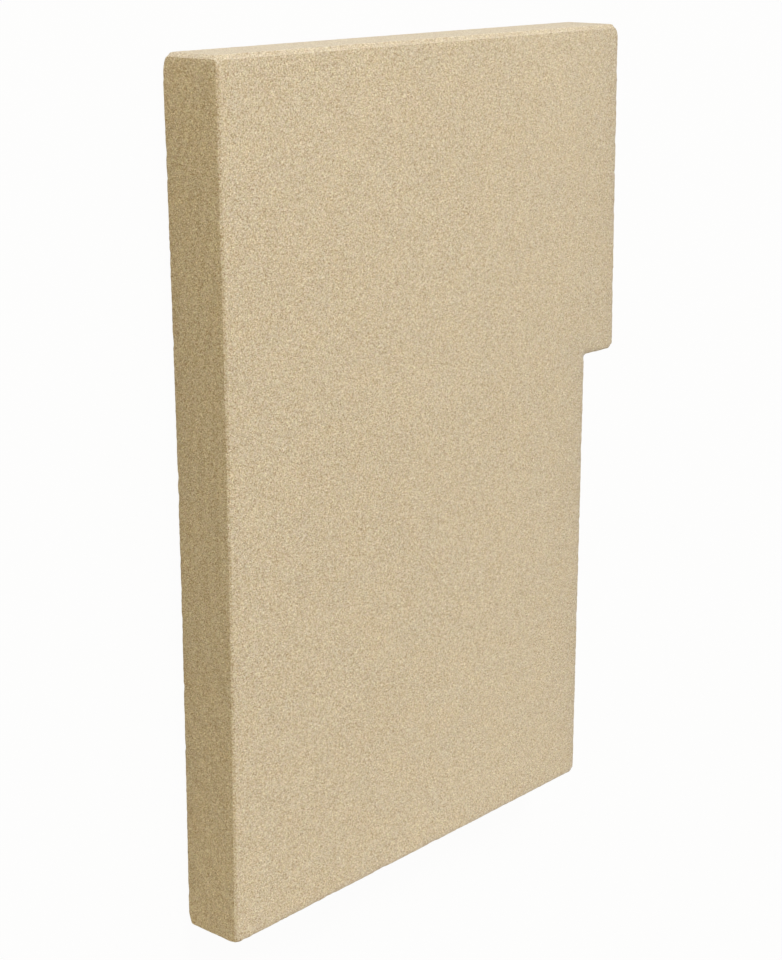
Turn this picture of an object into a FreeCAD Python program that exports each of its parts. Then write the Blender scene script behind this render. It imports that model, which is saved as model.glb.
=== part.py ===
"""Refractory firebrick: a flat stove-lining brick with a long notch cut from one corner.

The brick lies on its back face, with its fire face up. Seen from above it is a tall L:
a wide head at +Y, and a narrower foot at -Y, beside the notch.
It was pressed and fired as one piece, so it is one solid.

Frame: millimetres, +Z up through the thickness, +Y from the foot to the head, +X towards
the notched side. The origin is the middle of the bounding box, on the back face.
"""

import math
import os

import FreeCAD
import Part

# Driving sizes, in millimetres
LENGTH = 310.0  # foot end to head end
HEAD_WIDTH = 220.0  # across the head, at the ledge of the notch
THICKNESS = 25.0  # back face to fire face
NOTCH_DEPTH = 19.0  # how much narrower the foot is than the head
NOTCH_LENGTH = 181.0  # foot end up to the ledge of the notch
HEAD_TAPER = 2.5  # how much narrower the head is at its end than at the ledge
CORNER_RADIUS = 2.5  # outward corners of the outline
NOTCH_RADIUS = 3.0  # inward corner of the notch
ARRIS_RADIUS = 2.0  # rounded edge between each broad face and the sides

PARTS_FOLDER = "parts"
PLANE_TOLERANCE = 1e-6


def outline_corners():
    """The sharp corners of the outline, counter-clockwise, each with its rounding radius."""
    left = -HEAD_WIDTH / 2
    right = HEAD_WIDTH / 2
    foot_right = right - NOTCH_DEPTH
    head_right = right - HEAD_TAPER
    foot_end = -LENGTH / 2
    head_end = LENGTH / 2
    ledge = foot_end + NOTCH_LENGTH
    return [
        (left, foot_end, CORNER_RADIUS),
        (foot_right, foot_end, CORNER_RADIUS),
        (foot_right, ledge, NOTCH_RADIUS),
        (right, ledge, CORNER_RADIUS),
        (head_right, head_end, CORNER_RADIUS),
        (left, head_end, CORNER_RADIUS),
    ]


def corner_arc(before, corner, after, radius):
    """Start, middle and end of the arc that rounds one corner of the outline."""
    back = (before - corner).normalize()
    ahead = (after - corner).normalize()
    half_angle = back.getAngle(ahead) / 2
    setback = radius / math.tan(half_angle)
    bisector = (back + ahead).normalize()
    middle = corner + bisector * (radius / math.sin(half_angle) - radius)
    return corner + back * setback, middle, corner + ahead * setback


def rounded_outline():
    """The outline as one closed wire of straight sides and tangent corner arcs."""
    corners = outline_corners()
    points = [FreeCAD.Vector(x, y, 0) for x, y, _ in corners]
    arcs = []
    for i, (_, _, radius) in enumerate(corners):
        following = (i + 1) % len(corners)
        arcs.append(corner_arc(points[i - 1], points[i], points[following], radius))
    edges = []
    for i, (start, middle, end) in enumerate(arcs):
        edges.append(Part.Arc(start, middle, end).toShape())
        next_start = arcs[(i + 1) % len(arcs)][0]
        edges.append(Part.LineSegment(end, next_start).toShape())
    return Part.Wire(edges)


def rim_edges(solid):
    """Every edge that lies in the plane of the back face or of the fire face."""

    def in_plane(edge, height):
        box = edge.BoundBox
        low = abs(box.ZMin - height) < PLANE_TOLERANCE
        high = abs(box.ZMax - height) < PLANE_TOLERANCE
        return low and high

    return [e for e in solid.Edges if in_plane(e, 0) or in_plane(e, THICKNESS)]


def firebrick():
    """The pressed blank with both rims rounded."""
    blank = Part.Face(rounded_outline()).extrude(FreeCAD.Vector(0, 0, THICKNESS))
    return blank.makeFillet(ARRIS_RADIUS, rim_edges(blank))


def main():
    os.makedirs(PARTS_FOLDER, exist_ok=True)
    brick = firebrick()
    brick.exportStep(os.path.join(PARTS_FOLDER, "firebrick.step"))
    box = brick.BoundBox
    print(
        f"firebrick {box.XLength:.2f} x {box.YLength:.2f} x {box.ZLength:.2f} mm,"
        f" {brick.Volume / 1e6:.4f} litres, {len(brick.Solids)} solid, valid {brick.isValid()}"
    )


main()
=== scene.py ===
"""A refractory firebrick: pale sandy fireclay, pressed flat and notched along one corner.

The brick lies on its back face. Lengths are in metres: +Y runs from the foot to the head,
+X towards the notched side and +Z out of the fire face.
"""

import math

import bmesh
import bpy
from bpy.props import FloatProperty, FloatVectorProperty, IntProperty, PointerProperty
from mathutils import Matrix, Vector, noise


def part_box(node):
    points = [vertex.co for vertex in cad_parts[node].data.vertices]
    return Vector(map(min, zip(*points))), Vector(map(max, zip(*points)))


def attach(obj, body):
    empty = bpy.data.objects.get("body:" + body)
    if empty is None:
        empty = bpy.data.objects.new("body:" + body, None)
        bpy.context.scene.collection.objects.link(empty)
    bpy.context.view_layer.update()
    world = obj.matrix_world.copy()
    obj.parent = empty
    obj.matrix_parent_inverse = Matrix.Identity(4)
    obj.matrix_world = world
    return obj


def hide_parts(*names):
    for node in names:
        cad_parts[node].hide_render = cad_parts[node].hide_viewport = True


bl_info = {
    "name": "Refractory firebrick",
    "version": (1, 0, 0),
    "blender": (4, 5, 0),
    "location": "3D View > Sidebar > Firebrick",
    "description": "Adds a notched stove-lining brick with its sandy finish, and a plain studio",
    "category": "Add Mesh",
}

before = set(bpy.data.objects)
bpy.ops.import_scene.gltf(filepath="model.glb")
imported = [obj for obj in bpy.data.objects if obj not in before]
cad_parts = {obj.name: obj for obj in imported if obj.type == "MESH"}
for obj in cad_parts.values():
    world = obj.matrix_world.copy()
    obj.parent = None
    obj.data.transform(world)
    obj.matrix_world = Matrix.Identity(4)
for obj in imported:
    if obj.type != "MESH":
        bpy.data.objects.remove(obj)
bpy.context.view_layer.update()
NODE = "firebrick"
BODY = "root"
LOW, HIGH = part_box(NODE)
MIDDLE = (LOW + HIGH) / 2

MM = 0.001
TOUCH = 0.01 * MM
MERGE = 0.2 * MM
QUARTER_TURN = math.pi / 2
QUAD = 4
WHITE = (1.0, 1.0, 1.0)

# Attributes of the mesh that the finish reads
SHADE_LAYER = "shade"
FLANK_LAYER = "flank"
# Painted sheen: a pale tint on the head end and its left corner
PAINTED_SHEEN_LAYER = "dust_and_sheen"

# Sides of the outline, counted counter-clockwise from the foot end, which is 0
NOTCHED_SIDES = (1, 3)
# Rims along which a dark line of painted shade runs
SHADED_RIMS = (0, 1, 2, 3)

# Parts of a surface's unit normal, between which the surface comes to face that way
FOOT_FACING = (0.3, 0.9)
HEAD_FACING = (0.8, 0.95)
CORNER_FACING = (0.3, 0.6)
BROAD_FACING = (0.3, 0.8)
LEVEL = 0.999
SIDEWAYS = 0.01

# Noise from which a chip begins, and at which it is deepest
CHIP_NOISE = (0.1, 0.6)

# Half the stretch of the long side whose hollow gets painted shade, as a share of the brick's
# length
SHADED_STRETCH = 0.4

# How many times over the ends lack the painted shade that the middle has, which leaves them
# lighter
END_LACK = 3.5

# Distances from a speck's middle, in spacings, between which it fades out
SPECK_FADE = (0.1, 0.26)

# Random shares past which a place holds a dark speck, and below which a pale one
DARK_CHOICE = (0.6, 0.62)
PALE_CHOICE = (0.2, 0.22)

# Distances from the fleck's middle, in half extents, between which it fades out
FLECK_FADE = (0.6, 1.0)


def length(name, description, default):
    """A length that the sidebar shows in the scene's units."""
    return FloatProperty(
        name=name, description=description, default=default, subtype="DISTANCE", unit="LENGTH"
    )


def fraction(name, description, default, low=0.0, high=1.0):
    """A share of something else."""
    return FloatProperty(
        name=name, description=description, default=default, subtype="FACTOR", min=low, max=high
    )


def strength(name, description, default):
    """A factor that may go past 1."""
    return FloatProperty(name=name, description=description, default=default, min=0)


def colour(name, description, default):
    """A scene-linear colour."""
    return FloatVectorProperty(
        name=name, description=description, default=default, subtype="COLOR", min=0, max=1
    )


def position(name, description, default):
    """A place or an extent along X, Y and Z."""
    return FloatVectorProperty(
        name=name, description=description, default=default, subtype="XYZ", unit="LENGTH"
    )


class BrickShape(bpy.types.PropertyGroup):
    """Sizes of the pressed brick that its overall box doesn't give."""

    notch_depth: length("Notch depth", "How much narrower the foot is than the head", 19 * MM)
    notch_length: length("Notch length", "From the foot end up to the ledge", 180.7 * MM)
    head_taper: length("Head taper", "How much the head narrows above the ledge", 2.5 * MM)
    corner_radius: length("Corner radius", "Outward corners of the outline", 2.5 * MM)
    foot_corner: length("Foot corner", "Wear of the corner of foot and long side", 0.9 * MM)
    head_corner: length("Head corner", "Wear of the corner of head and long side", 1.5 * MM)
    notch_radius: length("Notch radius", "Inward corner of the notch", 2.5 * MM)
    rim_radius: length("Rim radius", "Radius of both rims before they wear", 2.4 * MM)
    head_arris: length("Head arris", "Wear between fire face and head end", 2.1 * MM)
    foot_arris: length("Foot arris", "Wear between fire face and foot end or ledge", 1.25 * MM)
    side_arris: length("Side arris", "Wear between a broad face and the sides", 0.9 * MM)
    arris_change: length("Arris change", "How far from an end its wear reaches", 5 * MM)
    flatness: fraction("Flatness", "How far a worn edge is a flat bevel instead of a round", 0.75)
    soft_flatness: fraction(
        "Soft flatness", "The same for the back face's ends, the foot and the ledge", 0.15
    )
    crease: FloatProperty(
        name="Crease",
        description="Bend at which two facets meet in an edge instead of a round",
        default=math.radians(20),
        subtype="ANGLE",
        unit="ROTATION",
    )
    side_hollow: length("Side hollow", "Deepest dip of the long side", 1.37 * MM)
    hollow_place: fraction(
        "Hollow place", "Where that dip is, as a share of the length from the foot", 0.45, 0.1, 0.9
    )
    hollow_width: length("Hollow width", "How far in from the side the dip fades out", 40 * MM)
    head_lean: length("Head lean", "How far the long side leans in at the head", 1.25 * MM)
    foot_lean: length("Foot lean", "How far the long side leans in at the foot", 0.35 * MM)
    foot_bend: length("Foot bend", "How far the long side bends in at its foot", 0.5 * MM)
    bend_length: length("Bend length", "Where that bend starts, from the foot", 105 * MM)
    head_bend: length("Head bend", "How far the long side bends in at its head", 0.85 * MM)
    head_bend_length: length("Head bend length", "Where that one starts, from the head", 14 * MM)
    round_steps: IntProperty(
        name="Round steps", description="Facets across each rounded edge", default=6, min=2
    )
    cell: length("Cell", "Spacing of the mesh over the faces", 1.6 * MM)
    arris_cuts: IntProperty(
        name="Arris cuts", description="Cuts that make the mesh finer along the arrises", default=2
    )


class BrickRelief(bpy.types.PropertyGroup):
    """Relief of the fired surface, and its painted shade. All the relief lies below the pressed
    surface.
    """

    uneven_wave: length("Unevenness wave", "Width of the broad swells", 70 * MM)
    uneven_depth: length("Unevenness", "Depth of the broad swells", 0.1 * MM)
    ripple_wave: length("Ripple wave", "Width of the small swells", 9 * MM)
    ripple_depth: length("Ripple", "Depth of the small swells", 0.04 * MM)
    sand_wave: length("Sand wave", "Width of the coarse grains", 2.6 * MM)
    sand_depth: length("Sand", "Depth between the coarse grains", 0.05 * MM)
    crumb_wave: length("Crumb wave", "Width of the crumbs along an arris", 1.5 * MM)
    crumb_depth: length("Crumb", "Depth of the crumbs along an arris", 0.22 * MM)
    chip_wave: length("Chip wave", "Width of the small chips in an arris", 4 * MM)
    chip_depth: length("Chip", "Depth of the small chips in an arris", 0.2 * MM)
    arris_core: length("Arris core", "How near an arris the crumbs are full", 0.6 * MM)
    arris_reach: length("Arris reach", "How far from an arris the crumbs end", 3 * MM)
    corner_depth: length("Corner wear", "Depth of the wear where three faces meet", 0.6 * MM)
    corner_reach: length("Corner reach", "How far from such a corner its wear ends", 3 * MM)
    # Painted shade: darker towards the notched side, a dark line at its rims, darker in the long
    # side's hollow and over the middle, lighter at the ends
    shade_reach: length("Grime reach", "How far the grime reaches from the notched side", 14 * MM)
    rim_shade: strength(
        "Rim grime", "Grime at the rims of the foot, ledge and notched side, against the rest", 3.0
    )
    rim_reach: length("Rim reach", "How far in from those rims the grime reaches", 0.6 * MM)
    middle_shade: fraction("Middle grime", "Share of the grime halfway along the brick", 0.1)
    hollow_shade: fraction("Hollow grime", "Share of it in the hollow of the long side", 0.45)


class BrickLook(bpy.types.PropertyGroup):
    """Colours, grain sizes and contrasts of the fireclay."""

    light: colour("Light grain", "Cream sand grains", (0.955, 0.858, 0.62))
    brown: colour("Brown grain", "Dark sand grains", (0.275, 0.138, 0.021))
    fine_grain: length("Fine grain", "Size of the sand grains", 0.2 * MM)
    fine_rise: length("Fine rise", "How far a sand grain stands proud", 0.06 * MM)
    fine_contrast: strength("Fine contrast", "How much the sand grains differ in tone", 0.93)
    calm: strength("Calm grain", "Contrast of the calmest sand grains", 0.5)
    vigour: strength("Vigour", "What the most vivid sand grains add to that", 1.5)
    coarse_grain: length("Coarse grain", "Size of the larger grains", 0.8 * MM)
    coarse_rise: length("Coarse rise", "How far a larger grain stands proud", 0.03 * MM)
    coarse_contrast: strength("Coarse contrast", "How much they differ in tone", 0.04)
    ring_contrast: strength("Ring contrast", "How much a larger grain darkens outwards", 0.03)
    clot: length("Clot", "Size of the soft clots of grains", 3.2 * MM)
    clot_contrast: strength("Clot contrast", "How much the clots differ in tone", 0.04)
    patch: length("Patch", "Size of the soft colour patches", 11 * MM)
    patch_contrast: strength("Patch contrast", "How much the patches differ in tone", 0.04)
    patch_cast: strength("Patch cast", "Share of the patches in the colour cast", 0.9)
    mottle: length("Mottle", "Size of the faint light and dark clouds", 45 * MM)
    mottle_contrast: strength("Mottle contrast", "How much the clouds differ in tone", 0.05)
    # Partly painted light and shade: the narrow sides get stronger grain tone, as the relief shows
    # under grazing light
    flank_contrast: strength("Flank contrast", "What the narrow sides add to the grain", 0.2)
    softness: fraction("Softness", "How much softer the grain is at the notched side", 0.14)
    soft_reach: length("Soft reach", "How far from the middle it is that soft", 80 * MM)
    red_cast: strength("Red cast", "How much the larger grains differ in red", 0.04)
    green_cast: strength("Green cast", "How much the larger grains differ in green", 0.027)
    blue_cast: strength("Blue cast", "How much the larger grains differ in blue", 0.14)

    speck_spacing: length("Speck spacing", "Between places where a speck may lie", 1.3 * MM)
    dark: colour("Dark", "Dark specks", (0.25, 0.17, 0.085))
    dark_cover: fraction("Dark cover", "How much a dark speck hides of what it lies in", 0.85)
    pale: colour("Pale", "Light specks", (0.80, 0.71, 0.55))
    pale_cover: fraction("Pale cover", "How much a light speck hides of what it lies in", 0.35)
    fleck: colour("Fleck", "Pale fleck on the head corner", (0.86, 0.80, 0.68))
    fleck_cover: fraction("Fleck cover", "How much that fleck hides of what it lies on", 0.7)
    fleck_place: position("Fleck place", "Middle of that fleck", (-0.1077, 0.1533, 0.0246))
    fleck_size: position("Fleck size", "Half extents of that fleck", (0.0006, 0.0015, 0.001))

    dust_and_sheen: fraction("Dust", "Share of pale dust that shows at a low angle", 0.4)
    dust_tint: colour("Dust colour", "Colour of that dust", (0.95, 0.96, 1.0))
    dust_roughness: fraction("Dust roughness", "How widely that dust spreads light", 0.5)
    # Painted sheen: a pale tint on the head end and its left corner, apart from the shader's own
    # sheen above
    painted_sheen: fraction("Settled dust", "Share of settled dust on the head end", 0.115)
    painted_sheen_tint: colour("Settled colour", "Colour of the settled dust", (1.0, 0.9, 0.74))
    # Painted shade: how much the shade attribute darkens the colour
    painted_shade: fraction("Grime", "How much the grime darkens the surface", 0.1)
    roughness: fraction("Roughness", "Roughness of the fired surface", 0.85)
    grain_roughness: strength("Grain roughness", "How much rougher the light grains are", 0.1)
    specular: fraction("Specular", "Strength of the surface's own reflection", 0.5)


def smooth(low, high, value):
    """0 below low, 1 above high, with a soft change between."""
    share = min(max((value - low) / (high - low), 0.0), 1.0)
    return share * share * (3 - 2 * share)


def share_along(point):
    """How far along the brick a point lies, from 0 at the foot end to 1 at the head end."""
    return (point.y - LOW.y) / (HIGH.y - LOW.y)


def outline(shape):
    """The sharp corners of the brick's outline, counter-clockwise from the foot's left one."""
    foot_right = HIGH.x - shape.notch_depth
    ledge = LOW.y + shape.notch_length
    return [
        Vector((LOW.x, LOW.y, 0)),
        Vector((foot_right, LOW.y, 0)),
        Vector((foot_right, ledge, 0)),
        Vector((HIGH.x, ledge, 0)),
        Vector((HIGH.x - shape.head_taper, HIGH.y, 0)),
        Vector((LOW.x, HIGH.y, 0)),
    ]


def round_edges(bm, edges, radius, steps):
    """Rounds edges to one radius, with a number of facets across each."""
    bmesh.ops.bevel(
        bm,
        geom=edges,
        offset=radius,
        offset_type="OFFSET",
        segments=steps,
        profile=0.5,
        affect="EDGES",
        material=-1,
        clamp_overlap=True,
    )


def press_blank(bm, shape):
    """Draws the outline up to the thickness and rounds its corners, then its two rims."""
    corners = [bm.verts.new(corner + Vector((0, 0, LOW.z))) for corner in outline(shape)]
    base = bm.faces.new(corners)
    drawn = bmesh.ops.extrude_face_region(bm, geom=[base])
    lifted = [part for part in drawn["geom"] if isinstance(part, bmesh.types.BMVert)]
    bmesh.ops.translate(bm, vec=(0, 0, HIGH.z - LOW.z), verts=lifted)
    bmesh.ops.recalc_face_normals(bm, faces=bm.faces[:])
    inward = outline(shape)[2]

    def uprights():
        return [e for e in bm.edges if abs(e.verts[0].co.z - e.verts[1].co.z) > MM]

    def at_notch(edge):
        return (edge.verts[0].co.xy - inward.xy).length < MM

    outward_edges = [edge for edge in uprights() if not at_notch(edge)]
    round_edges(bm, outward_edges, shape.corner_radius, shape.round_steps)
    notch_edges = [edge for edge in uprights() if at_notch(edge)]
    round_edges(bm, notch_edges, shape.notch_radius, shape.round_steps)

    def on_rim(edge):
        low, high = sorted(v.co.z for v in edge.verts)
        return high - LOW.z < TOUCH or HIGH.z - low < TOUCH

    round_edges(bm, [e for e in bm.edges if on_rim(e)], shape.rim_radius, shape.round_steps)


def cut_across(bm, axis, margin, spacing):
    """Cuts the mesh by even planes across one axis, and leaves the rounded ends uncut."""
    first = LOW[axis] + margin
    span = HIGH[axis] - margin - first
    count = round(span / spacing)
    for i in range(count + 1):
        point = Vector()
        point[axis] = first + span * i / count
        normal = Vector()
        normal[axis] = 1
        bmesh.ops.bisect_plane(
            bm,
            geom=bm.verts[:] + bm.edges[:] + bm.faces[:],
            dist=TOUCH,
            plane_co=point,
            plane_no=normal,
        )


def put_in_order(bm):
    """Lists the corners, edges and faces by where they lie, so that every run goes on alike."""

    def rank(parts, key):
        for number, part in enumerate(sorted(parts, key=key)):
            part.index = number
        parts.sort()

    rank(bm.verts, lambda vert: tuple(vert.co))
    rank(bm.edges, lambda edge: sorted(vert.index for vert in edge.verts))
    rank(bm.faces, lambda face: sorted(vert.index for vert in face.verts))


def set_back(turn, flatness):
    """How far a worn edge lies in from one of its two faces, as a share of its whole wear.

    The turn is 0 at that face and 1 at the other.
    """
    return (1 - flatness) * (1 - math.cos(turn * QUARTER_TURN)) + flatness * turn


def rim_wear(point, outward, shape):
    """Size and flatness of the wear at a point of a rim, which faces outward in plan."""
    size, flatness = shape.side_arris, shape.flatness

    def towards(end_size, end_flatness, share):
        return size + (end_size - size) * share, flatness + (end_flatness - flatness) * share

    near_head = 1 - smooth(0, shape.arris_change, HIGH.y - point.y)
    near_foot = 1 - smooth(0, shape.arris_change, point.y - LOW.y)
    if point.z < MIDDLE.z:
        return towards(shape.rim_radius, shape.soft_flatness, max(near_head, near_foot))
    if near_head > 0:
        return towards(shape.head_arris, shape.flatness, near_head)
    return towards(shape.foot_arris, shape.soft_flatness, smooth(*FOOT_FACING, -outward.y))


def wear_arrises(bm, shape):
    """Brings the rounded rims to their worn shape."""
    full = shape.rim_radius
    bm.normal_update()
    for vert in bm.verts:
        upwards = 1 if vert.co.z > MIDDLE.z else -1
        depth = min(vert.co.z - LOW.z, HIGH.z - vert.co.z)
        outward = Vector((vert.normal.x, vert.normal.y, 0))
        if depth > full + TOUCH or outward.length < SIDEWAYS:
            continue
        outward.normalize()
        turn = math.asin(min(max(1 - depth / full, 0), 1)) / QUARTER_TURN
        size, flatness = rim_wear(vert.co, outward, shape)
        inset = full * set_back(turn, 0) - size * set_back(turn, flatness)
        drop = full * set_back(1 - turn, 0) - size * set_back(1 - turn, flatness)
        vert.co += outward * inset
        vert.co.z += upwards * drop


def wear_left_corner(bm, shape, end, size, flatness):
    """Brings the corner between the long side and one end to its worn shape."""
    full = shape.corner_radius
    towards = 1 if end > MIDDLE.y else -1
    centre = Vector((LOW.x + full, end - towards * full))
    share = size / full
    for vert in bm.verts:
        across = centre.x - vert.co.x
        along = (vert.co.y - centre.y) * towards
        if min(across, along) < -TOUCH:
            continue
        turn = math.atan2(max(along, 0), max(across, 0)) / QUARTER_TURN
        reach = math.hypot(across, along)
        inset = set_back(turn, 0) - share * set_back(turn, flatness)
        drop = set_back(1 - turn, 0) - share * set_back(1 - turn, flatness)
        vert.co.x -= reach * inset
        vert.co.y += towards * reach * drop


def refine_arrises(bm, shape):
    """Makes the mesh finer along both rims, where the crumbs are."""
    radius = shape.rim_radius

    def in_band(face):
        height = face.calc_center_median().z
        near_low = height - LOW.z < radius
        near_high = HIGH.z - height < radius
        flat = abs(face.normal.z) > LEVEL
        return (near_low or near_high) and not flat

    def level(edge):
        a, b = (v.co for v in edge.verts)
        return abs(a.z - b.z) < TOUCH and (a - b).length > shape.cell / 2

    band = [e for e in bm.edges if level(e) and any(in_band(face) for face in e.link_faces)]
    bmesh.ops.subdivide_edges(bm, edges=band, cuts=shape.arris_cuts)


def settle_mesh(bm):
    """Merges what the cuts left almost touching, and splits the faces with many sides."""
    bmesh.ops.remove_doubles(bm, verts=bm.verts[:], dist=MERGE)
    many_sided = [face for face in bm.faces if len(face.verts) > QUAD]
    bmesh.ops.triangulate(bm, faces=many_sided)


def crease_edges(bm, shape):
    """Lets the borders of the worn edges show as edges."""
    bm.normal_update()
    for edge in bm.edges:
        edge.smooth = edge.calc_face_angle(0) < shape.crease


def distance_to_side(point, start, end):
    """Distance in plan from a point to one straight side of the outline."""
    side = end - start
    share = min(max((point - start).dot(side) / side.length_squared, 0.0), 1.0)
    return (point - start - side * share).length


def closeness_at(point, sides, relief):
    """1 on a worn arris and 0 away from it, then the same for a corner where three faces meet.

    The second nearest face of the sharp brick tells of an arris, the third nearest of a corner.
    """
    plan = Vector((point.x, point.y, 0))
    distances = [distance_to_side(plan, a, b) for a, b in sides]
    distances += [point.z - LOW.z, HIGH.z - point.z]
    distances.sort()
    arris = 1 - smooth(relief.arris_core, relief.arris_reach, distances[1])
    return arris, 1 - smooth(0, relief.corner_reach, distances[2])


def shade_at(point, sides, flank, relief):
    """How much painted shade the surface gets.

    The painted shade lies along the notched side, as a dark line at the rims of the foot end, the
    ledge and the notched side, in the long side's hollow, and thinly over the middle of the brick,
    while the ends come out lighter.
    """
    plan = Vector((point.x, point.y, 0))
    distance = min(distance_to_side(plan, *sides[i]) for i in NOTCHED_SIDES)
    rim = min(distance_to_side(plan, *sides[i]) for i in SHADED_RIMS)
    # A dark line of painted shade at the rims, painted shade in the hollow, and lighter ends
    line = (1 - flank) * relief.rim_shade * math.exp(-rim / relief.rim_reach)
    off_middle = share_along(point) - 0.5
    hollow = flank * relief.hollow_shade * max(1 - (off_middle / SHADED_STRETCH) ** 2, 0)
    middle = relief.middle_shade * (1 - END_LACK * (2 * off_middle) ** 2)
    return max(math.exp(-distance / relief.shade_reach), hollow) + line + middle


def painted_sheen_at(normal):
    """How much painted sheen, a pale tint, lies on the head end and on its left corner."""
    corner = smooth(*CORNER_FACING, normal.y) * smooth(*CORNER_FACING, -normal.x)
    return max(smooth(*HEAD_FACING, normal.y), corner)


def relief_at(point, arris, corner, relief):
    """How far below the pressed surface the fired one lies."""

    def swell(wave, depth):
        return depth * (1 + noise.noise(point / wave)) / 2

    depth = swell(relief.uneven_wave, relief.uneven_depth)
    depth += swell(relief.ripple_wave, relief.ripple_depth)
    depth += swell(relief.sand_wave, relief.sand_depth)
    crumbs = swell(relief.crumb_wave, relief.crumb_depth)
    chips = relief.chip_depth * smooth(*CHIP_NOISE, noise.noise(point / relief.chip_wave))
    return depth + arris * (crumbs + chips) + corner * relief.corner_depth


def hollow_at(point, shape):
    """How far a point near the long side lies inwards, for that side's dip, lean and bends."""
    along = share_along(point)
    upwards = (point.z - LOW.z) / (HIGH.z - LOW.z)
    deepest = shape.hollow_place
    reach = deepest if along < deepest else 1 - deepest
    dip = shape.side_hollow * (1 - ((along - deepest) / reach) ** 2)
    lean = (shape.foot_lean + (shape.head_lean - shape.foot_lean) * along) * upwards
    bend = shape.foot_bend * max(1 - (point.y - LOW.y) / shape.bend_length, 0) ** 2
    bend += shape.head_bend * max(1 - (HIGH.y - point.y) / shape.head_bend_length, 0) ** 2
    return (dip + lean + bend) * (1 - smooth(0, shape.hollow_width, point.x - LOW.x))


def fire_surface(bm, shape, relief):
    """Hollows the long side and lays the fired relief over the whole brick."""
    corners = outline(shape)
    sides = list(zip(corners, corners[1:] + corners[:1]))
    shade_layer = bm.verts.layers.float.new(SHADE_LAYER)
    flank_layer = bm.verts.layers.float.new(FLANK_LAYER)
    painted_sheen_layer = bm.verts.layers.float.new(PAINTED_SHEEN_LAYER)
    bm.normal_update()
    moved = []
    for vert in bm.verts:
        arris, corner = closeness_at(vert.co, sides, relief)
        flank = 1 - smooth(*BROAD_FACING, abs(vert.normal.z))
        vert[flank_layer] = flank
        vert[shade_layer] = shade_at(vert.co, sides, flank, relief)
        vert[painted_sheen_layer] = painted_sheen_at(vert.normal)
        inward = max(relief_at(vert.co, arris, corner, relief), 0)
        place = vert.co - vert.normal * inward
        place.x += hollow_at(vert.co, shape)
        place.z = min(max(place.z, LOW.z), HIGH.z)
        moved.append(place)
    for vert, place in zip(bm.verts, moved):
        vert.co = place


class Link:
    """One output of a node, which Python's arithmetic can use."""

    def __init__(self, graph, socket):
        self.graph = graph
        self.socket = socket

    def __add__(self, other):
        return self.graph.maths("ADD", self, other)

    def __sub__(self, other):
        return self.graph.maths("SUBTRACT", self, other)

    def __mul__(self, other):
        return self.graph.maths("MULTIPLY", self, other)

    def __rsub__(self, other):
        return self.graph.maths("SUBTRACT", other, self)

    __radd__ = __add__
    __rmul__ = __mul__


class Graph:
    """Fills one node tree."""

    def __init__(self, tree):
        self.tree = tree
        tree.nodes.clear()

    def add(self, kind, settings=None, sockets=None):
        """Adds a node, sets it up, then feeds its sockets with values or links."""
        node = self.tree.nodes.new(kind)
        for name, setting in (settings or {}).items():
            setattr(node, name, setting)
        usable = [socket for socket in node.inputs if socket.enabled]
        for key, fed in (sockets or {}).items():
            if isinstance(key, int):
                socket = usable[key]
            else:
                socket = next(socket for socket in usable if socket.name == key)
            if isinstance(fed, Link):
                self.tree.links.new(fed.socket, socket)
            else:
                socket.default_value = fed
        return node

    def link(self, kind, settings=None, sockets=None, output=None):
        """Adds a node and gives its named output, or else its first one in use."""
        node = self.add(kind, settings, sockets)
        if output:
            return Link(self, node.outputs[output])
        return Link(self, next(socket for socket in node.outputs if socket.enabled))

    def maths(self, operation, first, second):
        """Maths on two numbers."""
        return self.link("ShaderNodeMath", {"operation": operation}, {0: first, 1: second})

    def vector_maths(self, operation, *fed, output=None):
        """Maths on places or colours."""
        settings = {"operation": operation}
        return self.link("ShaderNodeVectorMath", settings, dict(enumerate(fed)), output)

    def step(self, value, low, high):
        """0 below low, 1 above high, with a soft change between."""
        return self.link(
            "ShaderNodeMapRange",
            {"interpolation_type": "SMOOTHSTEP"},
            {"Value": value, "From Min": low, "From Max": high},
        )

    def blend(self, factor, first, second):
        """Mixes two colours."""
        settings = {"data_type": "RGBA", "clamp_factor": True}
        return self.link("ShaderNodeMix", settings, {"Factor": factor, "A": first, "B": second})

    def filtered(self, tint, cast):
        """One colour seen through another."""
        return self.vector_maths("MULTIPLY", tint, cast)

    def attribute(self, name):
        """A number that the mesh holds at each vertex."""
        return self.link("ShaderNodeAttribute", {"attribute_name": name}, output="Fac")

    def cloud(self, place, size, detail=2.0, roughness=0.5):
        """Soft noise around 0, with features of about one size."""
        sockets = {"Vector": place, "Scale": 1 / size, "Detail": detail, "Roughness": roughness}
        return centred(self.link("ShaderNodeTexNoise", {"noise_dimensions": "3D"}, sockets))

    def cells(self, place, size):
        """Random cells of about one size: the distance from a cell's middle, and its colour."""
        settings = {"voronoi_dimensions": "3D", "feature": "F1"}
        node = self.add("ShaderNodeTexVoronoi", settings, {"Vector": place, "Scale": 1 / size})
        return Link(self, node.outputs["Distance"]), Link(self, node.outputs["Color"])

    def channel(self, tint, name):
        """One of a colour's three channels, which on a random cell is a random share."""
        return self.link("ShaderNodeSeparateColor", None, {"Color": tint}, name)


def centred(share):
    """Moves a share of 0 to 1 so that its middle lies at 0."""
    return share - 0.5


def opaque(tint):
    """A colour with the full alpha that a colour socket takes."""
    return (*tint, 1.0)


def sand_grain(graph, fine_tint, look):
    """Tone of the sand grains around 0: most are calm and a few are vivid."""
    vigour = graph.channel(fine_tint, "Green")
    contrast = look.calm + vigour * vigour * look.vigour
    return centred(graph.channel(fine_tint, "Red")) * contrast


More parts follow.
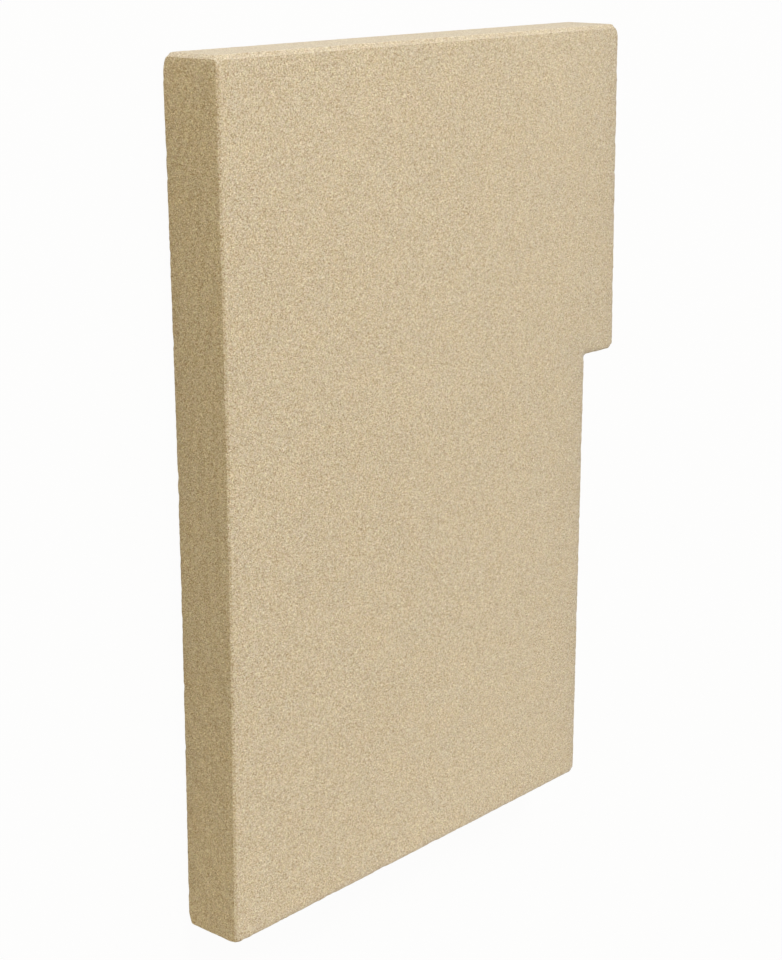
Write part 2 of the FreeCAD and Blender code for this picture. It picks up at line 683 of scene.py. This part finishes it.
def sandy_body(graph, place, fine, coarse_fall, coarse_tint, look):
    """Colour of the sand with its larger grains, clots, patches and clouds."""
    clot = graph.cloud(place, look.clot)
    patch = graph.cloud(place, look.patch)
    mottle = graph.cloud(place, look.mottle, detail=3.0)
    coarse = centred(graph.channel(coarse_tint, "Red"))
    ring = centred(coarse_fall)
    across = graph.link("ShaderNodeSeparateXYZ", None, {"Vector": place}, "X")
    sharpness = 1 - graph.step(across, 0.0, look.soft_reach) * look.softness

    grain = fine * look.fine_contrast + coarse * look.coarse_contrast
    grain = grain - ring * look.ring_contrast + clot * look.clot_contrast
    # Partly painted light and shade: stronger grain tone on the narrow sides, as the relief shows
    # under grazing light
    grain = grain * sharpness * (1 + graph.attribute(FLANK_LAYER) * look.flank_contrast)
    tone = 0.5 + (grain + patch * look.patch_contrast + mottle * look.mottle_contrast)
    sand = graph.blend(tone, opaque(look.brown), opaque(look.light))

    pink = centred(graph.channel(coarse_tint, "Green")) + patch * look.patch_cast
    blue = centred(graph.channel(coarse_tint, "Blue")) - patch * look.patch_cast
    channels = {
        "Red": 1 + pink * look.red_cast,
        "Green": 1 - pink * look.green_cast,
        "Blue": 1 + blue * look.blue_cast,
    }
    return graph.filtered(sand, graph.link("ShaderNodeCombineColor", None, channels))


def with_specks(graph, place, body, look):
    """Strews dark and pale specks through the sand."""
    fall, tint = graph.cells(place, look.speck_spacing)
    choice = graph.channel(tint, "Green")
    core = 1 - graph.step(fall, *SPECK_FADE)
    dark = core * graph.step(choice, *DARK_CHOICE)
    pale = core * (1 - graph.step(choice, *PALE_CHOICE))
    body = graph.blend(dark * look.dark_cover, body, opaque(look.dark))
    return graph.blend(pale * look.pale_cover, body, opaque(look.pale))


def with_fleck(graph, place, body, look):
    """Lays the pale fleck on the head corner."""
    aside = graph.vector_maths("SUBTRACT", place, look.fleck_place)
    aside = graph.vector_maths("DIVIDE", aside, look.fleck_size)
    away = graph.vector_maths("LENGTH", aside, output="Value")
    cover = (1 - graph.step(away, *FLECK_FADE)) * look.fleck_cover
    return graph.blend(cover, body, opaque(look.fleck))


def fireclay(look):
    """Sandy fireclay: grains of mixed tone, dark and pale specks, soft ochre and grey patches,
    with painted sheen on the head end and painted shade.
    """
    material = bpy.data.materials.new("fireclay")
    material.use_nodes = True
    graph = Graph(material.node_tree)
    place = graph.link("ShaderNodeTexCoord", output="Object")
    fine_fall, fine_tint = graph.cells(place, look.fine_grain)
    coarse_fall, coarse_tint = graph.cells(place, look.coarse_grain)
    fine = sand_grain(graph, fine_tint, look)

    body = sandy_body(graph, place, fine, coarse_fall, coarse_tint, look)
    body = with_specks(graph, place, body, look)
    # Painted sheen: a pale tint on the head end and its left corner
    dust_and_sheen = graph.attribute(PAINTED_SHEEN_LAYER) * look.painted_sheen
    body = graph.blend(dust_and_sheen, body, opaque(look.painted_sheen_tint))
    # Painted shade darkens the colour along the notched side, at its rims, in the hollow and over
    # the middle, and the ends come out lighter
    body = graph.filtered(body, 1 - graph.attribute(SHADE_LAYER) * look.painted_shade)
    body = with_fleck(graph, place, body, look)

    # The height is in metres, so the bump takes it as it is
    height = fine_fall * -look.fine_rise + coarse_fall * -look.coarse_rise
    sockets = {"Strength": 1.0, "Distance": 1.0, "Height": height}
    normal = graph.link("ShaderNodeBump", None, sockets)
    shader = graph.link(
        "ShaderNodeBsdfPrincipled",
        None,
        {
            "Base Color": body,
            "Roughness": look.roughness + fine * look.grain_roughness,
            "Normal": normal,
            "Specular IOR Level": look.specular,
            "Sheen Weight": look.dust_and_sheen,
            "Sheen Roughness": look.dust_roughness,
            "Sheen Tint": opaque(look.dust_tint),
        },
    )
    graph.add("ShaderNodeOutputMaterial", None, {"Surface": shader})
    return material


class FIREBRICK_OT_brick(bpy.types.Operator):
    """Adds the brick: pressed blank, cut into a fine mesh, with its fired relief and finish."""

    bl_idname = "firebrick.brick"
    bl_label = "Add Firebrick"

    def execute(self, context):
        shape = context.scene.firebrick_shape
        relief = context.scene.firebrick_relief
        bm = bmesh.new()
        press_blank(bm, shape)
        put_in_order(bm)
        margin = shape.rim_radius + shape.cell / 2
        for axis in (2, 0, 1):
            cut_across(bm, axis, margin, shape.cell)
        put_in_order(bm)
        wear_arrises(bm, shape)
        wear_left_corner(bm, shape, LOW.y, shape.foot_corner, shape.soft_flatness)
        wear_left_corner(bm, shape, HIGH.y, shape.head_corner, shape.flatness)
        refine_arrises(bm, shape)
        settle_mesh(bm)
        crease_edges(bm, shape)
        fire_surface(bm, shape, relief)
        mesh = bpy.data.meshes.new("fired_brick")
        bm.to_mesh(mesh)
        bm.free()
        for polygon in mesh.polygons:
            polygon.use_smooth = True
        mesh.materials.append(fireclay(context.scene.firebrick_look))
        brick = bpy.data.objects.new("fired_brick", mesh)
        context.scene.collection.objects.link(brick)
        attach(brick, BODY)
        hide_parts(NODE)
        return {"FINISHED"}


class StudioSetup(bpy.types.PropertyGroup):
    """Camera, lamp, light from all round and floor of the plain studio."""

    camera_place: position(
        "Camera place", "Where the camera stands", (-0.556083, 0.20363, 0.494855)
    )
    camera_turn: FloatVectorProperty(
        name="Camera turn",
        description="Rotation of the camera about X, Y and Z",
        default=tuple(math.radians(turn) for turn in (-16.12709, -48.41473, 0.02168)),
        subtype="EULER",
        unit="ROTATION",
    )
    lens: FloatProperty(name="Lens", description="Focal length in millimetres", default=76.1644)
    sensor: FloatProperty(name="Sensor", description="Its width in millimetres", default=36.0)
    near_clip: length("Near clip", "Nearest distance that the camera sees", 10 * MM)
    key_toward: FloatVectorProperty(
        name="Key direction",
        description="From the brick to the main lamp",
        default=(0.0, 0.79, 0.613),
        subtype="DIRECTION",
    )
    key_distance: length("Key distance", "From the brick to the main lamp", 5.0)
    key_size: length("Key size", "Width of the main lamp", 1.5)
    key_power: FloatProperty(
        name="Key power", description="Strength of the main lamp", default=208.0, unit="POWER"
    )
    key_tint: colour("Key colour", "Colour of the main lamp", (0.7187, 0.7995, 1.0))
    ambient: strength("Ambient", "Light from all round", 0.605)
    ambient_tint: colour("Ambient colour", "Colour of that light", (1.0, 0.9025, 0.679))
    floor_reach: length("Floor reach", "Half the width of the floor", 4.0)
    floor_tint: colour("Floor", "Colour that the floor throws on the brick", (0.65, 0.61, 0.472))
    floor_white: fraction(
        "Floor whiteness", "How much of the floor's look is white instead of its shading", 0.96
    )


def seen_directly(graph):
    """1 for what the camera sees, straight or in a reflection, and 0 for light that is thrown."""
    rays = graph.add("ShaderNodeLightPath")
    kinds = ("Is Camera Ray", "Is Glossy Ray", "Is Transmission Ray")
    camera, glossy, transmission = (Link(graph, rays.outputs[kind]) for kind in kinds)
    return graph.maths("MAXIMUM", graph.maths("MAXIMUM", camera, glossy), transmission)


def studio_world(studio):
    """Even, slightly warm light, and plain white behind everything."""
    world = bpy.data.worlds.new("studio")
    world.use_nodes = True
    graph = Graph(world.node_tree)
    sockets = {"Color": opaque(studio.ambient_tint), "Strength": studio.ambient}
    light = graph.link("ShaderNodeBackground", None, sockets)
    white = graph.link("ShaderNodeBackground", None, {"Color": opaque(WHITE), "Strength": 1.0})
    mixed = graph.link("ShaderNodeMixShader", None, {0: seen_directly(graph), 1: light, 2: white})
    graph.add("ShaderNodeOutputWorld", None, {"Surface": mixed})
    return world


def studio_floor(studio):
    """A pale floor that looks white and keeps a faint shadow."""
    material = bpy.data.materials.new("studio_floor")
    material.use_nodes = True
    graph = Graph(material.node_tree)
    matt = graph.link("ShaderNodeBsdfDiffuse", None, {"Color": opaque(studio.floor_tint)})
    white = graph.link("ShaderNodeEmission", None, {"Color": opaque(WHITE), "Strength": 1.0})
    share = seen_directly(graph) * studio.floor_white
    mixed = graph.link("ShaderNodeMixShader", None, {0: share, 1: matt, 2: white})
    graph.add("ShaderNodeOutputMaterial", None, {"Surface": mixed})
    return material


def add_floor(context, studio):
    """The level floor that the brick lies on."""
    bm = bmesh.new()
    bmesh.ops.create_grid(bm, x_segments=1, y_segments=1, size=studio.floor_reach)
    mesh = bpy.data.meshes.new("floor")
    bm.to_mesh(mesh)
    bm.free()
    mesh.materials.append(studio_floor(studio))
    floor = bpy.data.objects.new("floor", mesh)
    context.scene.collection.objects.link(floor)


def add_key(context, studio):
    """One large soft lamp that points at the brick."""
    lamp = bpy.data.lights.new("key", "AREA")
    lamp.size = studio.key_size
    lamp.energy = studio.key_power
    lamp.color = studio.key_tint
    key = bpy.data.objects.new("key", lamp)
    context.scene.collection.objects.link(key)
    toward = Vector(studio.key_toward).normalized()
    key.location = MIDDLE + toward * studio.key_distance
    key.rotation_mode = "QUATERNION"
    key.rotation_quaternion = toward.to_track_quat("Z", "Y")


def add_camera(context, studio):
    """The camera, rolled so that the brick's long side stands upright in the picture."""
    data = bpy.data.cameras.new("camera")
    data.lens = studio.lens
    data.sensor_width = studio.sensor
    data.clip_start = studio.near_clip
    camera = bpy.data.objects.new("camera", data)
    context.scene.collection.objects.link(camera)
    camera.location = studio.camera_place
    camera.rotation_euler = studio.camera_turn
    context.scene.camera = camera


class FIREBRICK_OT_stage(bpy.types.Operator):
    """Adds the studio: floor, world, lamp and camera."""

    bl_idname = "firebrick.stage"
    bl_label = "Add Studio"

    def execute(self, context):
        studio = context.scene.firebrick_studio
        add_floor(context, studio)
        context.scene.world = studio_world(studio)
        add_key(context, studio)
        add_camera(context, studio)
        context.scene.view_settings.view_transform = "Standard"
        return {"FINISHED"}


class FIREBRICK_PT_sidebar(bpy.types.Panel):
    """Lists the operators and the sizes and colours that they use."""

    bl_label = "Firebrick"
    bl_space_type = "VIEW_3D"
    bl_region_type = "UI"
    bl_category = "Firebrick"

    def draw(self, context):
        layout = self.layout
        for operator in OPERATORS:
            layout.operator(operator.bl_idname)
        for name, group in GROUPS.items():
            box = layout.box()
            for setting in group.__annotations__:
                box.prop(getattr(context.scene, name), setting)


GROUPS = {
    "firebrick_shape": BrickShape,
    "firebrick_relief": BrickRelief,
    "firebrick_look": BrickLook,
    "firebrick_studio": StudioSetup,
}
OPERATORS = (FIREBRICK_OT_brick, FIREBRICK_OT_stage)


def register():
    for cls in (*GROUPS.values(), *OPERATORS, FIREBRICK_PT_sidebar):
        bpy.utils.register_class(cls)
    for name, group in GROUPS.items():
        setattr(bpy.types.Scene, name, PointerProperty(type=group))


def unregister():
    for name in GROUPS:
        delattr(bpy.types.Scene, name)
    for cls in (FIREBRICK_PT_sidebar, *OPERATORS, *GROUPS.values()):
        bpy.utils.unregister_class(cls)


def main():
    """Adds the brick and its studio."""
    register()
    bpy.ops.firebrick.brick()
    bpy.ops.firebrick.stage()


if __name__ == "__main__":
    main()
